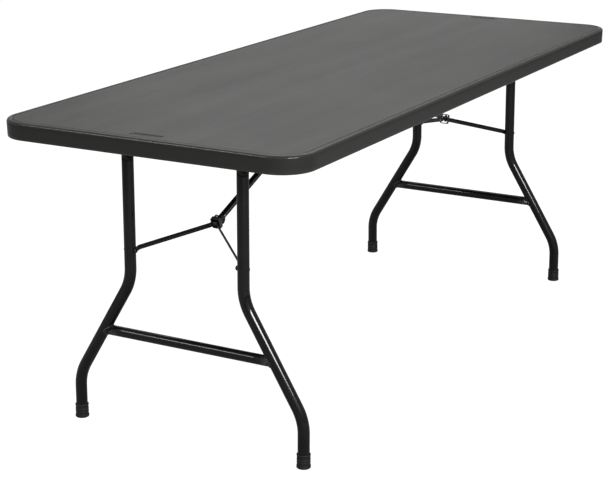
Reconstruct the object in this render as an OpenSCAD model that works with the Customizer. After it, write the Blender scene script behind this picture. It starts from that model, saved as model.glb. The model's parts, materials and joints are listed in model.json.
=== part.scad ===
// Folding banquet table: a blow-moulded top on two wishbone leg frames, each held open by a
// V-shaped knee brace. X runs along the length, Y across the width and Z up. The origin is on
// the floor under the middle of the top. Everything at one end is drawn at the left (-X) end
// and mirrored to the right. All sizes are in millimetres.

/* [Top] */
// Length of the tabletop
top_length = 1829; // [1700:1:2400]
// Width of the tabletop
top_width = 762; // [720:1:920]
// Height of the table's surface above the floor
table_height = 737; // [700:1:780]
// Depth of the rim that hangs down around the top
skirt_depth = 40; // [32:1:44]
// Width of the rim at its bottom edge
skirt_width = 14; // [10:1:18]
// Thickness of the flat panel inside the rim
panel_thickness = 24; // [18:1:26]
// Corner radius of the top, seen from above
corner_radius = 75; // [50:1:110]
// Radius of the rounding along the top's upper edge
edge_rounding = 8; // [4:1:12]
// Distance from the edge to the fine groove that runs around the surface
groove_inset = 12; // [9:1:20]
// Width of that groove
groove_width = 1.6; // [1:0.1:3]
// Depth of that groove
groove_depth = 0.8; // [0.4:0.1:1.5]
// Length of the blank recess at each end of the surface
badge_length = 80; // [50:1:120]
// Width of the blank recess
badge_width = 21; // [15:1:30]
// Depth of the blank recess
badge_depth = 0.8; // [0.4:0.1:1.5]
// Distance from the end of the top to the middle of the blank recess
badge_inset = 35; // [30:1:50]

/* [Rails] */
// Distance from the table's centreline to each rail's centreline
rail_offset = 190; // [186:1:210]
// Width of a rail
rail_width = 30; // [26:1:34]
// Height of a rail
rail_height = 14; // [10:1:16]
// Wall of a rail's tube
rail_wall = 1.6; // [1:0.1:2.5]
// Distance from the end of the top to the end of each rail
rail_end_gap = 115; // [100:1:125]
// Diameter of the wood screws that hold the steel to the panel
screw_d = 5; // [4:0.1:6]
// Depth to which the screws bite into the panel
screw_bite = 14; // [8:1:16]

/* [Leg frames] */
// Distance from the end of the top to the legs' pivot
pivot_inset = 173.5; // [165:0.5:185]
// Depth of the pivot below the table's surface
pivot_drop = 60; // [58:1:66]
// Outward lean of the opened legs, in degrees
leg_lean = 0.9; // [0:0.1:3]
// Diameter of a leg tube
leg_d = 27; // [22:0.5:29]
// Wall of a leg tube
leg_wall = 1.5; // [1.2:0.1:2]
// Half of the distance between the legs at the top
leg_offset = 149; // [140:1:155]
// Half of the distance between the feet
foot_offset = 299.5; // [270:0.5:320]
// Angle at which the legs flare out, in degrees
flare_angle = 31.2; // [25:0.1:36]
// Radius of the bends in the legs
bend_radius = 110; // [90:1:130]
// Height at which the lower bends end and the legs stand upright again
foot_straight = 78; // [60:1:100]
// Height of the stretcher that joins a pair of legs
stretcher_height = 230; // [200:1:260]
// Diameter of the stretcher
stretcher_d = 24; // [18:0.5:25]
// Diameter of the pivot tube across the legs' upper ends
pivot_d = 25.4; // [20:0.1:26]
// Wall of the pivot tube and the stretcher
cross_wall = 1.5; // [1.2:0.1:2]
// Wall of a foot cap
foot_wall = 2.6; // [1.5:0.1:4]
// Height of a foot cap
foot_height = 33; // [25:1:45]
// Thickness of a foot cap's sole
foot_sole = 6; // [3:0.5:10]

/* [Hangers] */
// Thickness of a hanger along the pivot
hanger_thickness = 14; // [10:1:16]
// Wall of the plastic bush in a hanger
bush_wall = 2.4; // [1.5:0.1:4]
// Metal around the bush
hanger_wall = 6; // [4:0.5:9]
// Length of a hanger's flange
flange_length = 92; // [84:1:100]
// Thickness of a hanger's flange
flange_thickness = 4; // [3:0.5:5]

/* [Knee brace] */
// Distance from the table's middle to the strut's upper pin
strut_pin_x = 65; // [55:1:90]
// Depth of the strut's upper pin below the table's surface
strut_pin_drop = 39; // [38:0.5:41]
// Height of the arms' rivets above the start of the legs' flare
rivet_rise = 42; // [30:1:60]
// Width of the strut's channel
strut_width = 13; // [11:0.5:15]
// Depth of the strut's channel
strut_depth = 10; // [9:0.5:11]
// Metal thickness of the strut
strut_wall = 1.8; // [1.2:0.1:2.5]
// Height of an arm's flat bar
arm_height = 12; // [10:0.5:13]
// Thickness of an arm's flat bar
arm_thickness = 2.6; // [2:0.1:3]
// Radius of the bends in an arm, along its middle
arm_bend = 10; // [8:1:14]
// Radius of an arm's eye at the knee
knee_eye_r = 10; // [8:0.5:11]
// Diameter of the knee, strut and rivet pins
pin_d = 6; // [5:0.1:8]
// Thickness of the washers between the strut and the arms
washer_thickness = 0.6; // [0.5:0.1:1.5]
// How far the strut's tongue runs past the knee pin, between the arms
tongue_length = 20; // [16:1:24]
// Length of the lock ring that slides down over the tongue and the arms
ring_length = 10; // [8:1:12]
// Wall of the lock ring
ring_wall = 1.6; // [1.2:0.1:2]
// Height inside the lock ring
ring_opening = 24; // [22:0.5:24.5]
// Distance from the knee pin to the middle of the seated lock ring
ring_seat = 13; // [12:0.5:14]
// Length of the bracket that carries the strut
bracket_length = 62; // [56:1:70]
// Width of the bracket that carries the strut
bracket_width = 50; // [46:1:60]
// Metal thickness of the bracket
bracket_wall = 2; // [1.5:0.1:2.5]

/* [Clearances] */
// Radial play of a pin or tube that turns
running_play = 0.05; // [0.02:0.01:0.1]
// Gap at a welded or pressed joint within one assembly
seat_play = 0.05; // [0.02:0.01:0.1]
// Side play between pieces that move past each other
side_play = 0.3; // [0.3:0.05:0.6]

/* [Hidden] */
$fn = 64;
ENDS = ["left", "right"];
END_NODES = ["front_leg", "back_leg", "stretcher", "pivot_tube", "front_foot", "back_foot",
  "leg_rivets", "front_arm", "back_arm", "arm_rivets", "knee_pin", "knee_washers", "strut",
  "lock_ring", "strut_bracket", "strut_pin", "bracket_screws", "hangers", "bushes",
  "hanger_screws"];

CHARCOAL = [0.36, 0.37, 0.38];
BLACK = [0.11, 0.11, 0.12];
RUBBER_BLACK = [0.06, 0.06, 0.06];
ZINC = [0.70, 0.71, 0.72];
NYLON = [0.82, 0.82, 0.80];

cut = 1; // How far a cutting tool runs past the face that it cuts

// The panel and its rim
panel_z = table_height - panel_thickness;
rim_bevel = 4;
rim_bottom_r = 3;
groove_margin = 6;
rim_width = max(skirt_width, groove_inset + groove_width + groove_margin) + rim_bevel;
inner_corner = corner_radius - rim_width;
badge_corner = 4;
pilot_spare = 1.5; // How far the pilot holes run past the screws' tips

// The rails
rail_length = top_length - 2 * rail_end_gap;
rail_bottom = panel_z - rail_height;
rail_screw_reach = rail_length / 3;
rail_screw_xs = [for (share = [-1, -0.38, 0, 0.38, 1]) share * rail_screw_reach];
screw_head_r = 4.5;
screw_head_h = 2.5;

// The legs' pivot and the frame that turns on it
pivot_x = -(top_length / 2 - pivot_inset);
pivot_z = table_height - pivot_drop;
leg_length = pivot_z / cos(leg_lean);
bend_drop = bend_radius * sin(flare_angle);
bend_step = bend_radius * (1 - cos(flare_angle));
flare_run = foot_offset - leg_offset - 2 * bend_step;
flare_length = flare_run / sin(flare_angle);
flare_bottom = foot_straight - pivot_z;
flare_top = flare_bottom + 2 * bend_drop + flare_length * cos(flare_angle);
stretcher_z = stretcher_height - pivot_z;
stretcher_half = leg_offset + bend_step
  + (flare_top - bend_drop - stretcher_z) * tan(flare_angle);
leg_top = -3; // The coped ends stop just under the middle of the pivot tube
bend_lap = 2; // How far the straight lengths lap into the bends
bend_slip = 0.05; // How much thinner their walls are there, on each face
foot_r = leg_d / 2 + foot_wall;
foot_lip = 2.5;
foot_bevel = 1;
foot_shoulder = 3;
sole_trim = 0.6; // Spare sole, cut off level with the floor
floor_cut = 50;

// The hangers and their bushes
pivot_half = rail_offset + rail_width / 2;
bush_inner = pivot_d / 2 + running_play;
bush_outer = bush_inner + bush_wall;
hanger_bore = bush_outer + seat_play;
hanger_r = hanger_bore + hanger_wall;
flange_bottom = rail_bottom - flange_thickness;
hanger_screw_x = (hanger_r + flange_length / 2) / 2;

// The knee brace, worked out from its pins. All four lie in the plane of the centreline.
rivet_reach = -flare_top - rivet_rise;
rivet_x = pivot_x - rivet_reach * sin(leg_lean);
rivet_z = pivot_z - rivet_reach * cos(leg_lean);
strut_x = -strut_pin_x;
strut_z = table_height - strut_pin_drop;
brace_run = strut_x - rivet_x;
brace_drop = strut_z - rivet_z;
brace_length = norm([brace_run, brace_drop]);
brace_angle = atan2(brace_drop, brace_run);
// When folded, the strut lies level under the panel and the arms fold back beneath it
folded_run = strut_x - (pivot_x + rivet_reach);
folded_drop = strut_z - pivot_z;
strut_length = (pow(brace_length, 2) - pow(folded_run, 2) - pow(folded_drop, 2))
  / (2 * (brace_length - folded_run));
arm_length = brace_length - strut_length;

// The arms, from the cheeks beside the strut to the tabs inside the legs
face_gap = 0.1; // Between a washer, a head or an eye and the face that it meets
cheek_inner = strut_width / 2 + washer_thickness + 2 * face_gap;
cheek_y = cheek_inner + arm_thickness / 2;
tab_outer = leg_offset - leg_d / 2 - side_play;
tab_y = tab_outer - arm_thickness / 2;
cheek_outer = cheek_inner + arm_thickness;
ring_margin = 1;
cheek_length = ring_seat + ring_length / 2 + ring_margin;
tab_length = 8;
arm_run = arm_length - cheek_length - tab_length;
arm_step = tab_y - cheek_y;
arm_centres = norm([arm_run, arm_step - 2 * arm_bend]);
arm_slant = atan2(arm_step - 2 * arm_bend, arm_run) + asin(2 * arm_bend / arm_centres);
rivet_head_r = 5.2;
rivet_head_h = 3;
rivet_taper = 2;
outer_head_h = 1.2;
outer_taper = 1;
strut_head_r = 4.2;
strut_head_h = 2;

// The bracket's ears stand on both sides of the strut's upper end
ear_inner = strut_width / 2 + side_play;
ear_r = 8;
screw_margin = 7.5;
bracket_screw_x = bracket_length / 2 - screw_margin;
bracket_screw_y = bracket_width / 2 - screw_margin;

// ---- Shared shapes ----

// Mirrors an end's pieces from the left end to the right one
module at_end(end) {
  mirror([end == "right" ? 1 : 0, 0, 0]) children();
}

// Mirrors a front piece to the back
module at_side(side) {
  mirror([0, side == "back" ? 1 : 0, 0]) children();
}

// One child at the front and one at the back
module both_sides() {
  for (side = ["front", "back"]) at_side(side) children();
}

// A solid cylinder along Y, centred on the origin
module cross_cylinder(r, length) {
  rotate([90, 0, 0]) cylinder(r = r, h = length, center = true);
}

// A cylinder along Y from y0 to y1
module cross_disc(r, y0, y1) {
  translate([0, (y0 + y1) / 2, 0]) cross_cylinder(r, y1 - y0);
}

// The ring-shaped section of a tube
module tube_section(r, wall) {
  difference() {
    circle(r = r);
    circle(r = r - wall);
  }
}

// Places the leg frame's own axes: the origin on the pivot and Z up along the legs
module leg_frame() {
  translate([pivot_x, 0, pivot_z]) rotate([0, leg_lean, 0]) children();
}

// Places the strut's own axes: the origin on the knee, X up along the strut
module brace_frame() {
  translate([rivet_x, 0, rivet_z]) rotate([0, -brace_angle, 0])
    translate([arm_length, 0, 0]) children();
}

// A screw with its head's underside at z = 0, pointing up
module screw(length) {
  translate([0, 0, -screw_head_h]) cylinder(r = screw_head_r, h = screw_head_h);
  cylinder(d = screw_d, h = length);
}

// ---- The top ----

// Points along a quarter or part circle
function arc(centre, r, from, to, steps) =
  [for (i = [0 : steps]) let (a = from + (to - from) * i / steps) centre + r * [cos(a), sin(a)]];

// Section through the rim. X is the distance from the inner corner circle's centre, and Z is up.
module rim_section() {
  outer = corner_radius;
  top = table_height;
  bottom = table_height - skirt_depth;
  groove_out = outer - groove_inset + groove_width / 2;
  groove_in = groove_out - groove_width;
  polygon(concat(
    [[inner_corner, panel_z], [outer - skirt_width - rim_bevel, panel_z],
      [outer - skirt_width, panel_z - rim_bevel]],
    arc([outer - skirt_width + rim_bottom_r, bottom + rim_bottom_r], rim_bottom_r, 180, 270, 4),
    arc([outer - rim_bottom_r, bottom + rim_bottom_r], rim_bottom_r, 270, 360, 4),
    arc([outer - edge_rounding, top - edge_rounding], edge_rounding, 0, 90, 8),
    [[groove_out, top], [groove_out - groove_width / 2, top - groove_depth], [groove_in, top]],
    [[inner_corner, top]]
  ));
}

// One straight length of the rim along X, on the side that faces +Y
module rim_side(length) {
  rotate([90, 0, 90]) linear_extrude(length, center = true) rim_section();
}

// The four sides and four corners of the rim
module rim() {
  corner_x = top_length / 2 - corner_radius;
  corner_y = top_width / 2 - corner_radius;
  for (turn = [0, 180]) rotate(turn) {
    translate([0, corner_y, 0]) rim_side(2 * corner_x);
    rotate(90) translate([0, corner_x, 0]) rim_side(2 * corner_y);
    for (flip = [0, 1]) mirror([flip, 0, 0]) translate([corner_x, corner_y, 0])
      rotate_extrude(angle = 90) rim_section();
  }
}

// The flat slab inside the rim
module panel_slab() {
  slab_x = top_length / 2 - rim_width;
  slab_y = top_width / 2 - rim_width;
  translate([0, 0, panel_z]) linear_extrude(panel_thickness) {
    square([2 * (slab_x - inner_corner), 2 * slab_y], center = true);
    square([2 * slab_x, 2 * (slab_y - inner_corner)], center = true);
    for (x = [-1, 1], y = [-1, 1])
      translate([x * (slab_x - inner_corner), y * (slab_y - inner_corner)]) circle(r = inner_corner);
  }
}

// The blank recess near the left end, with rounded corners
module badge_recess() {
  corner = badge_corner;
  translate([-(top_length / 2 - badge_inset), 0, table_height - badge_depth])
    linear_extrude(badge_depth + cut) {
      square([badge_width - 2 * corner, badge_length], center = true);
      square([badge_width, badge_length - 2 * corner], center = true);
      for (x = [-1, 1], y = [-1, 1])
        translate([x * (badge_width / 2 - corner), y * (badge_length / 2 - corner)])
          circle(r = corner);
    }
}

// One pilot hole in the panel, from its underside
module pilot_hole() {
  translate([0, 0, panel_z - cut])
    cylinder(d = screw_d + 2 * seat_play, h = screw_bite + pilot_spare + cut);
}

module tabletop() {
  color(CHARCOAL) difference() {
    union() {
      panel_slab();
      rim();
    }
    for (end = ENDS) at_end(end) {
      badge_recess();
      at_bracket_screws() pilot_hole();
      at_hanger_screws() pilot_hole();
    }
    at_rail_screws() pilot_hole();
  }
}

// ---- The rails ----

// Places a child at each screw along both rails
module at_rail_screws() {
  both_sides() for (x = rail_screw_xs) translate([x, -rail_offset, 0]) children();
}

// Places a child at each screw of the left end's hangers
module at_hanger_screws() {
  both_sides() for (x = [-1, 1])
    translate([pivot_x + x * hanger_screw_x, -rail_offset, 0]) children();
}

module front_rail() {
  color(BLACK) difference() {
    translate([-rail_length / 2, -rail_offset, rail_bottom + rail_height / 2])
      rotate([90, 0, 90]) linear_extrude(rail_length) difference() {
        square([rail_width, rail_height], center = true);
        square([rail_width - 2 * rail_wall, rail_height - 2 * rail_wall], center = true);
      }
    for (x = rail_screw_xs) translate([x, -rail_offset, 0]) rail_hole();
    for (end = ENDS, x = [-1, 1]) at_end(end)
      translate([pivot_x + x * hanger_screw_x, -rail_offset, 0]) rail_hole();
  }
}

// A screw hole through both walls of a rail
module rail_hole() {
  translate([0, 0, rail_bottom - cut])
    cylinder(d = screw_d + 2 * seat_play, h = rail_height + 2 * cut);
}

module rail_screws() {
  color(ZINC) at_rail_screws() translate([0, 0, rail_bottom]) screw(rail_height + screw_bite);
}

// ---- The leg frames ----

// Sweeps a section, drawn as the children, along a front leg's three straight lengths. They
// lap a little into the bends, so that the leg comes out as one tube.
module leg_straights() {
  translate([0, -leg_offset, flare_top - bend_lap])
    linear_extrude(leg_top - flare_top + bend_lap) children();
  leg_flare(bend_lap) children();
  translate([0, -foot_offset, -leg_length + foot_sole])
    linear_extrude(flare_bottom + leg_length - foot_sole + bend_lap) children();
}

// The straight flared length, from the upper bend to the lower one
module leg_flare(lap) {
  translate([0, -leg_offset - bend_step, flare_top - bend_drop]) rotate([180 - flare_angle, 0, 0])
    translate([0, 0, -lap]) linear_extrude(flare_length + 2 * lap) children();
}

// Sweeps a section around a front leg's two bends
module leg_bends() {
  leg_bend(-leg_offset - bend_radius, flare_top, -flare_angle) children();
  leg_bend(-foot_offset + bend_radius, flare_bottom, 180 - flare_angle) children();
}

// A bend about a centre at y and z that covers the flare's angle from the angle given
module leg_bend(y, z, from) {
  translate([0, y, z]) rotate([90, 0, 90]) rotate(from)
    rotate_extrude(angle = flare_angle) translate([bend_radius, 0]) children();
}

module leg(side) {
  color(BLACK) leg_frame() at_side(side) difference() {
    union() {
      leg_straights() tube_section(leg_d / 2 - bend_slip, leg_wall - 2 * bend_slip);
      leg_bends() tube_section(leg_d / 2, leg_wall);
    }
    cross_cylinder(pivot_d / 2 + seat_play, 2 * foot_offset);
    translate([0, -leg_offset, -rivet_reach])
      cross_cylinder(pin_d / 2 + seat_play, leg_d + 2 * cut);
  }
}

module stretcher() {
  color(BLACK) leg_frame() difference() {
    translate([0, stretcher_half, stretcher_z]) rotate([90, 0, 0])
      linear_extrude(2 * stretcher_half) tube_section(stretcher_d / 2, cross_wall);
    both_sides() leg_flare(0) circle(r = leg_d / 2 + seat_play);
  }
}

module pivot_tube() {
  color(BLACK) leg_frame() translate([0, pivot_half, 0]) rotate([90, 0, 0])
    linear_extrude(2 * pivot_half) tube_section(pivot_d / 2, cross_wall);
}

// A foot cap, open at the top, with its sole cut level with the floor
module foot(side) {
  bore = leg_d / 2 + seat_play;
  sole_top = foot_sole + sole_trim - seat_play;
  color(RUBBER_BLACK) at_side(side) difference() {
    leg_frame() translate([0, -foot_offset, -leg_length - sole_trim]) rotate_extrude() polygon([
      [0, 0], [foot_r - foot_lip, 0], [foot_r, foot_lip + sole_trim],
      [foot_r, foot_height - foot_shoulder], [foot_r - foot_bevel, foot_height],
      [bore, foot_height], [bore, sole_top], [0, sole_top]
    ]);
    translate([pivot_x - floor_cut, -2 * foot_offset, -floor_cut])
      cube([2 * floor_cut, 4 * foot_offset, floor_cut]);
  }
}

// Low outer heads with shanks that end flush inside the legs
module leg_rivets() {
  color(BLACK) leg_frame() both_sides() translate([0, -leg_offset, -rivet_reach]) {
    cross_disc(pin_d / 2, -leg_d / 2 - face_gap, leg_d / 2);
    translate([0, -leg_d / 2 - face_gap, 0]) rotate([90, 0, 0])
      cylinder(r1 = rivet_head_r, r2 = rivet_head_r - outer_taper, h = outer_head_h);
  }
}

// ---- The hangers ----

// Two blocks that hang the pivot tube under the rails
module hangers() {
  color(BLACK) both_sides() translate([pivot_x, -rail_offset, 0]) difference() {
    union() {
      translate([-flange_length / 2, -rail_width / 2, flange_bottom])
        cube([flange_length, rail_width, flange_thickness]);
      translate([-hanger_r, -hanger_thickness / 2, pivot_z])
        cube([2 * hanger_r, hanger_thickness, flange_bottom - pivot_z + cut]);
      translate([0, 0, pivot_z]) cross_cylinder(hanger_r, hanger_thickness);
    }
    translate([0, 0, pivot_z]) cross_cylinder(hanger_bore, rail_width + 2 * cut);
    for (x = [-1, 1]) translate([x * hanger_screw_x, 0, flange_bottom - cut])
      cylinder(d = screw_d + 2 * seat_play, h = flange_thickness + 2 * cut);
  }
}

module bushes() {
  color(NYLON) both_sides() translate([pivot_x, -rail_offset, pivot_z]) difference() {
    cross_cylinder(bush_outer, hanger_thickness);
    cross_cylinder(bush_inner, hanger_thickness + 2 * cut);
  }
}

module hanger_screws() {
  color(ZINC) at_hanger_screws() translate([0, 0, flange_bottom])
    screw(flange_thickness + rail_height + screw_bite);
}

// ---- The knee brace ----

// Both edges of an arm's bent bar: out along one face and back along the other
function arm_edge(half) = concat(
  [[0, cheek_y + half]],
  arc([cheek_length, cheek_y + arm_bend], arm_bend - half, 270, 270 + arm_slant, 8),
  arc([cheek_length + arm_run, tab_y - arm_bend], arm_bend + half, 90 + arm_slant, 90, 8),
  [[arm_length, tab_y + half]]
);

function reversed(points) = [for (i = [len(points) - 1 : -1 : 0]) points[i]];

// An arm runs down from its eye at the knee to its tab at the leg
module arm(side) {
  half = arm_thickness / 2;
  color(BLACK) brace_frame() at_side(side) difference() {
    union() {
      translate([0, 0, -arm_height / 2]) rotate([0, 0, 180]) linear_extrude(arm_height)
        polygon(concat(arm_edge(-half), reversed(arm_edge(half))));
      cross_disc(knee_eye_r, -cheek_y - half, -cheek_y + half);
      translate([-arm_length, 0, 0]) cross_disc(arm_height / 2, -tab_y - half, -tab_y + half);
    }
    cross_cylinder(pin_d / 2 + seat_play, 4 * cheek_y);
    translate([-arm_length, 0, 0]) cross_cylinder(pin_d / 2 + seat_play, 3 * tab_y);
  }
}

// Heads and shanks in the arms' tabs, flush with the faces that meet the legs
module arm_rivets() {
  color(BLACK) brace_frame() translate([-arm_length, 0, 0]) both_sides() {
    cross_disc(pin_d / 2, -tab_outer, -tab_outer + arm_thickness + face_gap);
    translate([0, -tab_outer + arm_thickness + face_gap, 0]) rotate([-90, 0, 0])
      cylinder(r1 = rivet_head_r, r2 = rivet_head_r - rivet_taper, h = rivet_head_h);
  }
}

// The flush pin through both arms and the strut, which lets the lock ring pass over it
module knee_pin() {
  color(ZINC) brace_frame() cross_cylinder(pin_d / 2, 2 * cheek_outer);
}

module knee_washers() {
  color(NYLON) brace_frame() both_sides() difference() {
    cross_disc(knee_eye_r - 2, -cheek_inner + face_gap, -strut_width / 2 - face_gap);
    cross_cylinder(pin_d / 2 + running_play, 4 * cheek_inner);
  }
}

// A channel with its web on top, open underneath, with a tongue that runs on past the knee
module strut() {
  end_r = strut_depth / 2;
  whole = tongue_length + strut_length + end_r;
  color(BLACK) brace_frame() difference() {
    translate([-tongue_length, -strut_width / 2, -end_r]) cube([whole, strut_width, strut_depth]);
    translate([-tongue_length - cut, -strut_width / 2 + strut_wall, -end_r - cut])
      cube([whole + 2 * cut, strut_width - 2 * strut_wall, strut_depth - strut_wall + cut]);
    for (x = [0, strut_length]) translate([x, 0, 0])
      cross_cylinder(pin_d / 2 + running_play, strut_width + 2 * cut);
  }
}

// A rectangular collar around the tongue and both arms, which slides up the strut
module lock_ring() {
  inside = 2 * (cheek_outer + side_play);
  color(BLACK) brace_frame() translate([-ring_seat - ring_length / 2, 0, 0]) rotate([90, 0, 90])
    linear_extrude(ring_length) difference() {
      square([inside + 2 * ring_wall, ring_opening + 2 * ring_wall], center = true);
      square([inside, ring_opening], center = true);
    }
}

// Places a child at each screw of the left strut bracket
module at_bracket_screws() {
  for (x = [-1, 1], y = [-1, 1])
    translate([strut_x + x * bracket_screw_x, y * bracket_screw_y, 0]) children();
}

// A plate on the panel with two ears that carry the strut's pin
module strut_bracket() {
  color(BLACK) difference() {
    union() {
      translate([strut_x - bracket_length / 2, -bracket_width / 2, panel_z - bracket_wall])
        cube([bracket_length, bracket_width, bracket_wall]);
      both_sides() translate([strut_x, 0, strut_z]) {
        cross_disc(ear_r, -ear_inner - bracket_wall, -ear_inner);
        translate([-ear_r, -ear_inner - bracket_wall, 0])
          cube([2 * ear_r, bracket_wall, panel_z - strut_z - bracket_wall / 2]);
      }
    }
    translate([strut_x, 0, strut_z]) cross_cylinder(pin_d / 2 + seat_play, bracket_width);
    at_bracket_screws() translate([0, 0, panel_z - bracket_wall - cut])
      cylinder(d = screw_d + 2 * seat_play, h = bracket_wall + 2 * cut);
  }
}

module strut_pin() {
  head_y = ear_inner + bracket_wall + face_gap;
  color(BLACK) translate([strut_x, 0, strut_z]) {
    cross_cylinder(pin_d / 2, 2 * head_y);
    both_sides() cross_disc(strut_head_r, -head_y - strut_head_h, -head_y);
  }
}

module bracket_screws() {
  color(ZINC) at_bracket_screws() translate([0, 0, panel_z - bracket_wall])
    screw(bracket_wall + screw_bite);
}

// ---- The nodes ----

tabletop();
front_rail();
at_side("back") front_rail();  // back_rail
rail_screws();
for (end = ENDS) {
  at_end(end) leg("front");
  at_end(end) leg("back");
  at_end(end) stretcher();
  at_end(end) pivot_tube();
  at_end(end) foot("front");
  at_end(end) foot("back");
  at_end(end) leg_rivets();
  at_end(end) arm("front");
  at_end(end) arm("back");
  at_end(end) arm_rivets();
  at_end(end) knee_pin();
  at_end(end) knee_washers();
  at_end(end) strut();
  at_end(end) lock_ring();
  at_end(end) strut_bracket();
  at_end(end) strut_pin();
  at_end(end) bracket_screws();
  at_end(end) hangers();
  at_end(end) bushes();
  at_end(end) hanger_screws();
}
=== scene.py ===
"""Folding table: charcoal moulded top on two black wishbone leg frames with knee braces."""
import json
import math

import bmesh
import bpy
import numpy as np
from mathutils import Matrix, Vector


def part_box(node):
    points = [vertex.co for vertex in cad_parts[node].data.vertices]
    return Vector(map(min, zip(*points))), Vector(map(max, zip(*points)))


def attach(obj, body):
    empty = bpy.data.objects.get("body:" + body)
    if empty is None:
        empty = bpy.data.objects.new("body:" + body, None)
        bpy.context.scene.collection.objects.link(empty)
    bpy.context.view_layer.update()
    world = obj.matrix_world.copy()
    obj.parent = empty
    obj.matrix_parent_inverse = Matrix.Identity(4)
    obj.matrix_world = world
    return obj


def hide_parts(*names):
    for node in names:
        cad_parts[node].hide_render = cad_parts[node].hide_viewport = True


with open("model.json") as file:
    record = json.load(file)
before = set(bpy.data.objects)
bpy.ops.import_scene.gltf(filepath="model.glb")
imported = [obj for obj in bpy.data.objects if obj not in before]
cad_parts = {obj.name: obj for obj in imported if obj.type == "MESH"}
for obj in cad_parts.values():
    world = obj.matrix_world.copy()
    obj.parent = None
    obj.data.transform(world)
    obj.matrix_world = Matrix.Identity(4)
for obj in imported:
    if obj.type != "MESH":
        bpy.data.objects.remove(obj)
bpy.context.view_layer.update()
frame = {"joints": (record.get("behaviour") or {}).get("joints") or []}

# ---------------------------------------------------------------------------------------------
# Camera. It stands off the table's near left corner, a little above head height of a seated
# person, and looks down along the top with a long lens.
camera_place = Vector((-3.5828, -1.9032, 1.4940))
camera_yaw = math.radians(29.49)
camera_pitch = math.radians(16.69)
camera_roll = -0.0051
camera_lens = 96.2

look = Vector((math.cos(camera_yaw) * math.cos(camera_pitch),
               math.sin(camera_yaw) * math.cos(camera_pitch), -math.sin(camera_pitch)))
level = Vector((math.sin(camera_yaw), -math.cos(camera_yaw), 0))
upward = level.cross(look)
right = math.cos(camera_roll) * level + math.sin(camera_roll) * upward
camera_data = bpy.data.cameras.new("camera")
camera_data.lens = camera_lens
camera_data.sensor_width = 36
camera_data.clip_end = 60
camera = bpy.data.objects.new("camera", camera_data)
camera_turn = Matrix((right, right.cross(-look) * -1, -look)).transposed()
camera.matrix_world = Matrix.Translation(camera_place) @ camera_turn.to_4x4()
bpy.context.scene.collection.objects.link(camera)
bpy.context.scene.camera = camera
bpy.context.scene.view_settings.view_transform = "Standard"

# ---------------------------------------------------------------------------------------------
# Tabletop. One hollow blow-moulded panel of charcoal polyethylene with a deep hanging rim, a
# fine groove inside the edge, a blank recess at each end, and rows of pinched dimples underneath.
MM = 0.001
top_low, top_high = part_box("tabletop")
half_length, half_width, surface_z = top_high.x, top_high.y, top_high.z
skirt_depth = top_high.z - top_low.z
corner_radius = 75 * MM
panel_thickness = 24 * MM
under_z = surface_z - panel_thickness
skirt_width = 14 * MM
field_drop = 0.3 * MM
groove_inset = 12 * MM
edge_rounding = 7 * MM
badge_inset = 35 * MM
badge_half = (10 * MM, 39.5 * MM)
badge_corner = 5 * MM
badge_depth = 2.0 * MM
badge_wall = (-0.7 * MM, 0.3 * MM)
ripple_height = 0.09 * MM
dimple_columns, dimple_rows = 17, 7
dimple_depth = 11 * MM
dimple_mouth = 13 * MM
dimple_floor = 7 * MM


def smooth_step(low, high, value):
    """0 below low, 1 above high, and a cubic ease between them."""
    t = np.clip((value - low) / (high - low), 0, 1)
    return t * t * (3 - 2 * t)


def full_turn(count):
    """Evenly spaced angles once round."""
    return np.linspace(0, 2 * np.pi, count, endpoint=False)


def make_piece(name, points, faces):
    """A smooth-shaded mesh object at the origin."""
    mesh = bpy.data.meshes.new(name)
    mesh.from_pydata([tuple(point) for point in points], [], faces)
    mesh.validate()
    mesh.update()
    mesh.polygons.foreach_set("use_smooth", np.ones(len(mesh.polygons), bool))
    piece = bpy.data.objects.new(name, mesh)
    bpy.context.scene.collection.objects.link(piece)
    return piece


def outward(piece):
    """Recalculate a closed mesh's normals so that they all point outwards."""
    skin = bmesh.new()
    skin.from_mesh(piece.data)
    bmesh.ops.recalc_face_normals(skin, faces=skin.faces)
    skin.to_mesh(piece.data)
    skin.free()
    return piece


def finish_piece(piece, body, slot, material, *nodes):
    """Give a piece its material and the body it moves with, and hide the nodes it stands for; slot
    is not used.
    """
    piece.data.materials.clear()
    piece.data.materials.append(material)
    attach(piece, body)
    if nodes:
        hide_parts(*nodes)
    return piece


def grid_faces(rows, columns, start=0, wrap=False):
    """Quads between the rows of a grid of points; wrap also joins the last column to the first."""
    i, j = np.meshgrid(np.arange(rows - 1), np.arange(columns if wrap else columns - 1),
                       indexing="ij")
    k = (j + 1) % columns
    quads = np.stack([i * columns + j, i * columns + k, (i + 1) * columns + k,
                      (i + 1) * columns + j], -1)
    return (quads.reshape(-1, 4) + start).tolist()


def field_lines(half, cells, extra=()):
    """Grid lines over one side of the field, gathered around the middle of each dimple cell."""
    pitch = 2 * half / cells
    near = np.array([0, 3.5, 7, 10, 13, 17, 27]) * MM
    lines = [-half, half]
    for cell in range(cells):
        middle = -half + (cell + 0.5) * pitch
        lines += [middle - pitch / 2, *(middle + near), *(middle - near)]
    lines += list(extra)
    return np.unique(np.round(np.array(lines), 6))


def badge_cut(x, y):
    """Depth of the blank recesses: a rounded rectangle near each end, with a steep soft wall."""
    off_x = np.abs(np.abs(x) - (half_length - badge_inset)) - badge_half[0] + badge_corner
    off_y = np.abs(y) - badge_half[1] + badge_corner
    outside = np.hypot(np.maximum(off_x, 0), np.maximum(off_y, 0))
    distance = outside + np.minimum(np.maximum(off_x, off_y), 0) - badge_corner
    return badge_depth * (1 - smooth_step(*badge_wall, distance))


def surface_wave(x, y):
    """The slight sag and long ripples that a cooled moulding keeps, up to 0.3 mm deep."""
    ripple = np.sin(y * 41 + 1.1 * np.sin(x * 2.3)) + 0.6 * np.sin(y * 67 + 0.8 * np.sin(x * 3.1))
    return ripple_height * (ripple - 1.6)


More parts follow.
